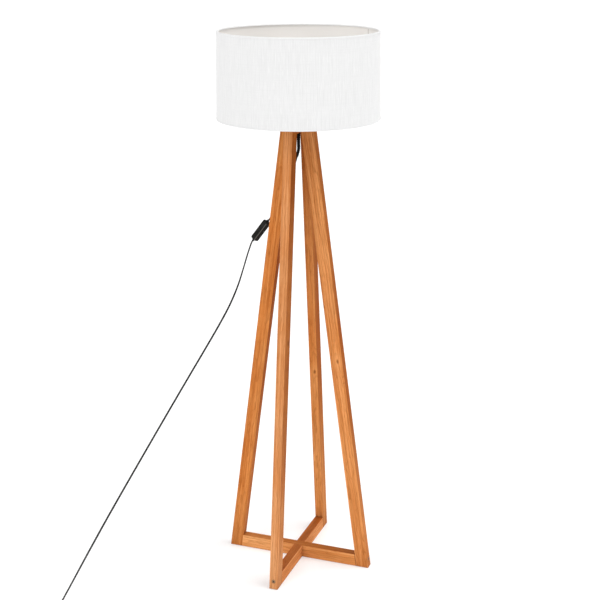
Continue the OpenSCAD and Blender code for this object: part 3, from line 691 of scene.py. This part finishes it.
def sweep(path, section_at, broad_side):
    """A closed tube along path. broad_side(i) is the direction of the section's wide axis."""
    verts = []
    for i, p in enumerate(path):
        ahead = heading(path, i)
        wide = broad_side(i)
        wide = (wide - ahead * wide.dot(ahead)).normalized()
        thin = ahead.cross(wide)
        verts += [p + wide * x + thin * y for x, y in section_at(i)]
    count = len(verts) // len(path)
    return verts, grid_faces(len(path), count) + cap_faces(count, len(path))


def lengths(path):
    """Distance along the path to each of its points."""
    along = [0.0]
    for a, b in zip(path, path[1:]):
        along.append(along[-1] + (b - a).length)
    return along


def flex_broad_side(path, along):
    """Edge-on to the front near the switch, broad lower down, and flat on the floor."""
    edge_on = math.radians(62)
    settles_over = 0.25
    floor_at = next(d for d, p in zip(along, path) if p.z < 20 * MM)

    def broad(i):
        ahead = heading(path, i)
        outward = (VIEWPOINT - path[i]).normalized()
        sideways = ahead.cross(outward).normalized()
        turn = edge_on * (1 - smoothstep(0.42, 0.56, along[i])) * smoothstep(0.02, 0.12, along[i])
        hung = sideways * math.cos(turn) + outward * math.sin(turn)
        flat = ahead.cross(UP)
        flat = flat.normalized() if flat.length > 0.05 else sideways
        if flat.dot(hung) < 0:
            flat = -flat
        share = smoothstep(floor_at - settles_over, floor_at, along[i])
        return hung * (1 - share) + flat * share

    return broad


def ring(radius, sides=24):
    """A round section."""
    angles = [2 * math.pi * k / sides for k in range(sides)]
    return [(radius * math.cos(a), radius * math.sin(a)) for a in angles]


def boot(name, path, start, stop, thick, thin, grooves, broad):
    """A tapered strain relief moulded round the flex, with grooves between its two plain ends."""
    groove_deep, end_rounding = 0.35 * MM, (0.5 * MM, 0.4 * MM)
    along = lengths(path)
    line, radii = [], []
    steps = 60
    for k in range(steps + 1):
        d = start + (stop - start) * k / steps
        i = next(j for j in range(len(along) - 1) if along[j + 1] >= d)
        t = (d - along[i]) / (along[i + 1] - along[i])
        line.append(path[i].lerp(path[i + 1], t))
        share = k / steps
        wave = max(0.0, math.sin(2 * math.pi * grooves * share)) if 0.06 < share < 0.94 else 0.0
        radii.append(thick + (thin - thick) * share - groove_deep * wave)
    radii[0] -= end_rounding[0]
    radii[-1] -= end_rounding[1]
    verts, faces = sweep(line, lambda i: ring(radii[i]), lambda i: broad)
    return piece(name, verts, faces, RUBBER, "stand")


def make_flex():
    """The flex, and the line it follows."""
    path = flex_path()
    along = lengths(path)
    section = flex_section()
    verts, faces = sweep(path, lambda i: section, flex_broad_side(path, along))
    flex = piece("flex", verts, faces, SHEATH, "stand")
    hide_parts("cord_upper", "cord_lower", "cord_coil", "cord_tail")
    return flex, path


def in_switch(x, y, z):
    """A point of the switch: x along it, y across, z out of its rocker face."""
    return SWITCH_AT + SWITCH_DIR * x + SWITCH_SIDE * y + SWITCH_OUT * z


def rounded_bar(centre, length_dir, out_dir, length, wide, high):
    """A low rib with a half-round section, its foot sunk into the face it stands on."""
    length_dir, out_dir = length_dir.normalized(), out_dir.normalized()
    across = length_dir.cross(out_dir)
    sunk, steps = 0.2 * MM, 8
    outline = [(-wide / 2, -sunk)]
    for k in range(steps + 1):
        a = math.pi * k / steps
        outline.append((-wide / 2 * math.cos(a), high * math.sin(a)))
    outline.append((wide / 2, -sunk))
    rows = ((-0.5, 0.6), (-0.44, 1.0), (0.44, 1.0), (0.5, 0.6))
    verts = []
    for share, size in rows:
        middle = centre + length_dir * (length * share)
        verts += [middle + across * (x * size) + out_dir * (y * size) for x, y in outline]
    count = len(outline)
    return verts, grid_faces(len(rows), count) + cap_faces(count, len(rows))


def make_grips():
    """Grip ribs along both sides of the switch."""
    count, pitch = 13, 3.75 * MM
    ribs = []
    for side in (-1, 1):
        for k in range(count):
            x = pitch * (k - (count - 1) / 2)
            centre = in_switch(x, side * SWITCH_SIDE_AT, -0.2 * MM)
            ribs.append(
                rounded_bar(centre, SWITCH_OUT, SWITCH_SIDE * side, 10.5 * MM, 1.7 * MM, 0.55 * MM)
            )
    verts, faces = join(ribs)
    return piece("switch_grips", verts, faces, BLACK, "stand")


def make_surround():
    """A low frame of four bars round the rocker's window."""
    bars = []
    for centre, along, length in ((11.5, SWITCH_SIDE, 11), (5.9, SWITCH_DIR, 22)):
        for end in (-1, 1):
            off = end * centre * MM
            spot = (off, 0) if along is SWITCH_SIDE else (0, off)
            middle = in_switch(*spot, SWITCH_FACE_AT)
            bars.append(rounded_bar(middle, along, SWITCH_OUT, length * MM, 1.3 * MM, 0.6 * MM))
    verts, faces = join(bars)
    return piece("rocker_surround", verts, faces, BLACK, "stand")


def rounded_outline(half, side, corner, steps=7):
    """Points round a rectangle with round corners."""
    points = []
    for quarter, (x, y) in enumerate(((1, 1), (-1, 1), (-1, -1), (1, -1))):
        for k in range(steps + 1):
            a = QUARTER * (quarter + k / steps)
            round_x, round_y = corner * math.cos(a), corner * math.sin(a)
            points.append((x * (half - corner) + round_x, y * (side - corner) + round_y))
    return points


def make_switch_lid():
    """The switch's upper half: a parting step, rounded shoulders, and the rocker's window."""
    step, corner, shoulder = 0.35 * MM, 5 * MM, 3 * MM
    flank = SWITCH_FACE_AT - shoulder
    levels = [(step, 0), (0, step), (0, flank)]
    steps = 8
    for k in range(1, steps + 1):
        a = QUARTER * k / steps
        levels.append((shoulder * (1 - math.cos(a)), flank + shoulder * math.sin(a)))
    verts = []
    for inset, z in levels:
        outline = rounded_outline(SWITCH_HALF - inset, SWITCH_SIDE_AT - inset, corner - inset)
        verts += [in_switch(x, y, z) for x, y in outline]
    # the window's edge, chamfer and floor, as half length, half width and height in millimetres
    for half, side, z in ((8.1, 5.1, 8), (7.4, 4.4, 7.4), (7.4, 4.4, 1)):
        outline = rounded_outline(half * MM, side * MM, 0.7 * MM)
        verts += [in_switch(x, y, z * MM) for x, y in outline]
    count = len(outline)
    rows = len(verts) // count
    faces = grid_faces(rows, count) + cap_faces(count, rows)
    # the shoulders along the rocker face get rubbed wear and a painted highlight
    edges = [tuple((SWITCH_OUT + SWITCH_SIDE * side).normalized()) for side in (-1, 1)]
    finish = plastic("black_moulding_worn_and_highlit", JET, 0.42, shine=0.16, wear_and_highlight=edges)
    lid = piece("switch_lid", verts, faces, finish, "stand")
    mark_sharp(lid)
    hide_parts("switch_cover")
    return lid


def make_boots(path):
    """A boot under the head, one at each end of the switch, and one behind the plug."""
    along = lengths(path)
    middle = min(range(len(path)), key=lambda i: (path[i] - SWITCH_AT).length)
    upper = along[-1] - (along[middle] - SWITCH_HALF)
    lower = along[middle] + SWITCH_HALF
    sunk, reach = 0.6 * MM, 6 * MM
    hidden = Vector((0, 0, HEAD_BOOT_TOP))
    across = Vector((1, 0, 0))
    head = boot("head_boot", [hidden] + path, 0.0, 72 * MM, 5.1 * MM, 4.1 * MM, 12, across)
    back = path[::-1]
    boots = [head]
    for name, line, at in (("upper", back, upper), ("lower", path, lower)):
        boots.append(
            boot("switch_boot_" + name, line, at - sunk, at + reach, 3.7 * MM, 3.0 * MM, 2, SWITCH_SIDE)
        )
    boots.append(boot("plug_boot", back, 0.1 * MM, 17 * MM, 3.3 * MM, 3.0 * MM, 4, UP))
    return boots


def make_plug_grips():
    """Ribs across both broad faces of the plug, which widens toward its pins."""
    count, pitch, first = 6, 2.6, 27
    across = Vector((0, 1, 0))
    ribs = []
    for face in (-1, 1):
        for k in range(count):
            x = PLUG_BACK.x + (first + pitch * k) * MM
            half_high = (6.5 + 0.04 * k) * MM
            centre = Vector((x, PLUG_BACK.y, PLUG_Z + face * half_high))
            # the lower ribs stay clear of the floor
            high = 0.7 * MM if face > 0 else PLUG_Z - half_high - 0.05 * MM
            ribs.append(rounded_bar(centre, across, UP * face, (14 + k) * MM, 1.2 * MM, high))
    verts, faces = join(ribs)
    return piece("plug_grips", verts, faces, BLACK, "stand")


def make_pin_sleeves():
    """Insulating sleeves over the roots of the two pins."""
    outline = [(2.0, 0), (2.12, 0), (2.12, 9.6), (2.0, 10), (1.9, 9.8), (1.9, 0)]
    sleeve = lathe([(r * MM, z * MM) for r, z in outline], 32)
    lie = Matrix.Rotation(QUARTER, 4, "Y")
    sleeves = []
    for side in (-1, 1):
        foot = Vector((PLUG_BACK.x + PLUG_LENGTH, PLUG_BACK.y + side * PIN_SPAN / 2, PLUG_Z))
        sleeves.append(place(sleeve, Matrix.Translation(foot) @ lie))
    verts, faces = join(sleeves)
    return piece("pin_sleeves", verts, faces, BLACK, "stand")


def make_tie():
    """A flat plastic twist tie round the stored turns: a band, and its two twisted ends."""
    angle = math.radians(40)
    out = Vector((math.cos(angle), math.sin(angle), 0))
    round_way = Vector((-math.sin(angle), math.cos(angle), 0))
    centre = COIL_AT + out * COIL_MIDDLE + UP * 3.6 * MM
    sides = 32
    loop = []
    for k in range(sides):
        a = 2 * math.pi * k / sides
        square = (abs(math.cos(a)) ** 4 + abs(math.sin(a)) ** 4) ** -0.25
        loop.append((math.cos(a) * square, math.sin(a) * square))
    # half width, half height and place along the coil of each row, in millimetres
    rows = (
        (6.4, 3.3, -4), (6.9, 3.5, -3.6), (6.9, 3.5, 3.6),
        (6.4, 3.3, 4), (6.0, 2.9, 3.6), (6.0, 2.9, -3.6),
    )
    verts = []
    for half_wide, half_high, along in rows:
        middle = centre + round_way * (along * MM)
        wide, high = out * (half_wide * MM), UP * (half_high * MM)
        verts += [middle + wide * x + high * y for x, y in loop]
    parts = [(verts, [f[::-1] for f in grid_faces(len(rows), sides, closed_rows=True)])]
    root = centre + UP * 3.4 * MM
    lean = (out * 0.75 + round_way * 0.35 + UP * 0.45).normalized()
    side = lean.cross(UP).normalized()
    top = side.cross(lean)
    turns, steps, length = 4, 48, 19 * MM
    strip = [(x * 1.6, y * 0.6) for x, y in ring(0.7 * MM, 10)]
    for phase in (0, math.pi):
        line = []
        for k in range(steps + 1):
            t = k / steps
            a = phase + 2 * math.pi * turns * t
            reach = 0.75 * MM + 1.4 * MM * smoothstep(0.75, 1.0, t)
            line.append(
                root + lean * (t * length) + side * (math.cos(a) * reach) + top * (math.sin(a) * reach)
            )
        parts.append(sweep(line, lambda i: strip, lambda i: side))
    verts, faces = join(parts)
    tie = piece("twist_tie", verts, faces, TIE, "stand")
    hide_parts("coil_tie")
    return tie


flex, flex_line = make_flex()
cord_trim = make_boots(flex_line)
cord_trim += [make_grips(), make_surround(), make_switch_lid()]
cord_trim += [make_plug_grips(), make_pin_sleeves(), make_tie()]


# ---------------------------------------------------------------- shade

SHADE_LOW, SHADE_TOP = 1.332, 1.569
SHADE_LOW_R = 0.225
SHADE_LEAN = 4 / 237
# how far inside the shade's outline the cloth, the liner's face and the edging's inner leg lie
CLOTH_DEEP, LINER_INNER, EDGING_DEEP = 0.6 * MM, 2.6 * MM, 6.3 * MM
CLOTH_THICK, CLOTH_OVERLAP, LAP_GAP = 0.7 * MM, 12 * MM, 0.05 * MM
SEAM_ANGLE = math.radians(48.7)
SEAM_WIDE, SEAM_SHORT = 5 * MM, 7 * MM
# the edging's thickness, and how far from the edge its legs end and its bend begins
TAPE_THICK, TAPE_LEG, TAPE_BEND = 0.35 * MM, 4.2 * MM, 3.2 * MM


def shade_radius(z):
    """The shade's outline tapers upward."""
    return SHADE_LOW_R - SHADE_LEAN * (z - SHADE_LOW)


def polar(radius, angle, z):
    """A point given by its distance from the axis, its angle round it and its height."""
    return Vector((radius * math.cos(angle), radius * math.sin(angle), z))


def ripple(angle, z):
    """The hand-stretched cloth is nowhere perfectly true."""
    return 0.10 * MM * math.sin(5 * angle + 11 * z) + 0.06 * MM * math.sin(13 * angle - 23 * z + 1.3)


def paint_uv(obj, along_at):
    """UV map in metres: distance round the shade, and height."""
    layer = obj.data.uv_layers.new(name="cloth")
    for loop in obj.data.loops:
        layer.data[loop.index].uv = along_at(loop.vertex_index)


def make_cloth():
    """One cloth glued round the liner, with its end lapped over its start."""
    low, high = SHADE_LOW + CLOTH_DEEP, SHADE_TOP - CLOTH_DEEP
    rows, columns = 26, 300
    lap = CLOTH_OVERLAP / SHADE_LOW_R
    levels = [low + (high - low) * k / (rows - 1) for k in range(rows)]
    verts, flat = [], []
    for j in range(columns + 1):
        turn = (2 * math.pi + lap) * j / columns
        angle = SEAM_ANGLE + turn
        lift = (CLOTH_THICK + LAP_GAP) * smoothstep(2 * math.pi - 0.35 * lap, 2 * math.pi, turn)
        for z in levels:
            # the cloth lies true where it laps
            uneven = 0 if lift else ripple(angle, z)
            verts.append(polar(shade_radius(z) - CLOTH_DEEP + lift + uneven, angle, z))
            flat.append((turn * SHADE_LOW_R, z))
        for z in reversed(levels):
            verts.append(polar(shade_radius(z) - CLOTH_DEEP - CLOTH_THICK + lift, angle, z))
            flat.append((turn * SHADE_LOW_R, z))
    loop = 2 * rows
    faces = [f[::-1] for f in grid_faces(columns + 1, loop) + cap_faces(loop, columns + 1)]
    cloth_piece = piece("shade_cloth", verts, faces, LINEN, "shade")
    paint_uv(cloth_piece, lambda i: flat[i])
    mark_sharp(cloth_piece)
    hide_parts("shade_fabric")
    return cloth_piece


def make_edging(name, edge, inward, replaced):
    """Cloth tape rolled over a wire ring: a leg outside, a round edge, a leg inside.

    inward is -1 for the top edge and 1 for the bottom one, toward the middle of the shade.
    """
    sides, leg_steps, bend_steps = 240, 4, 12
    clear = 0.1 * MM
    legs = [k / leg_steps for k in range(leg_steps + 1)]
    profile = []
    for inset, order in ((0, 1), (TAPE_THICK, -1)):
        points = []
        for t in legs:
            z = edge + inward * (TAPE_LEG + (TAPE_BEND - TAPE_LEG) * t)
            tucked = 0.25 * MM if t == 0 else 0
            points.append((shade_radius(z) + clear - inset - tucked, z))
        middle = shade_radius(edge) - EDGING_DEEP / 2 + clear
        half = EDGING_DEEP / 2 - inset
        for k in range(1, bend_steps):
            a = math.pi * k / bend_steps
            rise = (TAPE_BEND - clear - inset) * math.sin(a)
            points.append((middle + half * math.cos(a), edge + inward * (TAPE_BEND - rise)))
        for t in legs:
            z = edge + inward * (TAPE_BEND + (TAPE_LEG - TAPE_BEND) * t)
            points.append((shade_radius(z) - EDGING_DEEP - clear / 2 + inset, z))
        profile += points[::order]
    along = [0.0]
    for (r0, z0), (r1, z1) in zip(profile, profile[1:]):
        along.append(along[-1] + math.hypot(r1 - r0, z1 - z0))
    verts, flat = [], []
    for j in range(sides):
        a = 2 * math.pi * j / sides
        pucker = 0.05 * MM * math.sin(61 * a) + 0.04 * MM * math.sin(97 * a + 1)
        verts += [polar(r + pucker, a, z) for r, z in profile]
        flat += [(a * SHADE_LOW_R, edge + d) for d in along]
    faces = grid_faces(sides, len(profile), closed_rows=True)
    if inward < 0:
        faces = [f[::-1] for f in faces]
    tape = piece(name, verts, faces, EDGING, "shade")
    paint_uv(tape, lambda i: flat[i])
    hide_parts(replaced)


def make_liner_seam():
    """The liner's glued joint, seen inside the shade as an upright strip. Its grey is partly the glue
    tape's own and partly painted shade along the lap's edge.
    """
    low, high = SHADE_LOW + SEAM_SHORT, SHADE_TOP - SEAM_SHORT
    strip = SEAM_WIDE / SHADE_LOW_R
    rows, columns = 14, 10
    # the strip's back lies in the liner; its front stands out, but not along its edges
    back, front = 0.1 * MM, -0.45 * MM
    verts = []
    for lift in (back, front):
        for i in range(rows):
            z = low + (high - low) * i / (rows - 1)
            for j in range(columns):
                edge = j in (0, columns - 1)
                radius = shade_radius(z) - LINER_INNER + (0 if lift == front and edge else lift)
                verts.append(polar(radius, SEAM_ANGLE + strip * (j / (columns - 1) - 1), z))
    count = rows * columns
    faces = grid_faces(rows, columns, closed_cols=False)
    faces += [tuple(i + count for i in f[::-1]) for f in faces]
    border = list(range(columns)) + [columns * (i + 1) - 1 for i in range(1, rows)]
    border += [count - 2 - j for j in range(columns - 1)]
    border += [columns * i for i in range(rows - 2, 0, -1)]
    for a, b in zip(border, border[1:] + border[:1]):
        faces.append((b, a, a + count, b + count))
    strip_piece = piece("liner_seam", verts, faces, SEAM_GREY_AND_SHADE, "shade")
    mark_sharp(strip_piece)


shade_cloth = make_cloth()
make_edging("edging_top", SHADE_TOP, -1, "shade_top_hem")
make_edging("edging_bottom", SHADE_LOW, 1, "shade_bottom_hem")
make_liner_seam()


# ---------------------------------------------------------------- studio


def make_floor():
    """A pale seamless floor."""
    s = Shader("studio_floor", rough=0.9)
    blotch = s.noise(s.place(), scale=3.0)
    s.set("Base Color", s.mix(blotch, (0.66, 0.66, 0.66), (0.64, 0.64, 0.64)))
    s.set("Specular IOR Level", 0.1)
    s.set("Emission Color", (1, 1, 1, 1))
    s.set("Emission Strength", 0.36)
    reach = 45  # metres, past every horizon the camera sees
    mesh = bpy.data.meshes.new("floor")
    corners = [(-reach, -reach, 0), (reach, -reach, 0), (reach, reach, 0), (-reach, reach, 0)]
    mesh.from_pydata(corners, [], [(0, 1, 2, 3)])
    mesh.materials.append(s.mat)
    floor = bpy.data.objects.new("floor", mesh)
    bpy.context.scene.collection.objects.link(floor)


# azimuth, elevation and spread in degrees, and strength
LIGHTS = {"key": (-20, 33, 45, 1.44), "fill": (98, 52, 50, 2.0), "back": (205, 22, 60, 0.75)}


def make_light(name, azimuth, elevation, spread, power):
    """A large, far softbox. Azimuth is measured from the front toward the right."""
    data = bpy.data.lights.new(name, "SUN")
    data.angle = math.radians(spread)
    data.energy = power
    light = bpy.data.objects.new(name, data)
    a, e = math.radians(azimuth), math.radians(elevation)
    back = Vector((math.sin(a) * math.cos(e), -math.cos(a) * math.cos(e), math.sin(e)))
    light.rotation_euler = back.to_track_quat("Z", "Y").to_euler()
    bpy.context.scene.collection.objects.link(light)


def make_studio():
    """Soft light from all round: a key in front, a fill high on the right, and a weaker one behind."""
    make_floor()
    world = bpy.data.worlds.new("studio")
    world.use_nodes = True
    tree = world.node_tree
    # the sky is brightest at and below the horizon
    way = tree.nodes.new("ShaderNodeSeparateXYZ")
    fade = tree.nodes.new("ShaderNodeMapRange")
    fade.inputs["From Max"].default_value = 0.3
    fade.inputs["To Min"].default_value = 1.0
    fade.inputs["To Max"].default_value = 0.42
    tree.links.new(tree.nodes.new("ShaderNodeTexCoord").outputs["Generated"], way.inputs[0])
    tree.links.new(way.outputs["Z"], fade.inputs["Value"])
    tree.links.new(fade.outputs[0], tree.nodes["Background"].inputs["Strength"])
    tree.nodes["Background"].inputs["Color"].default_value = (1, 1, 1, 1)
    bpy.context.scene.world = world
    for name, settings in LIGHTS.items():
        make_light(name, *settings)
    view = bpy.context.scene.view_settings
    view.view_transform = "Standard"
    view.look = "None"


make_studio()
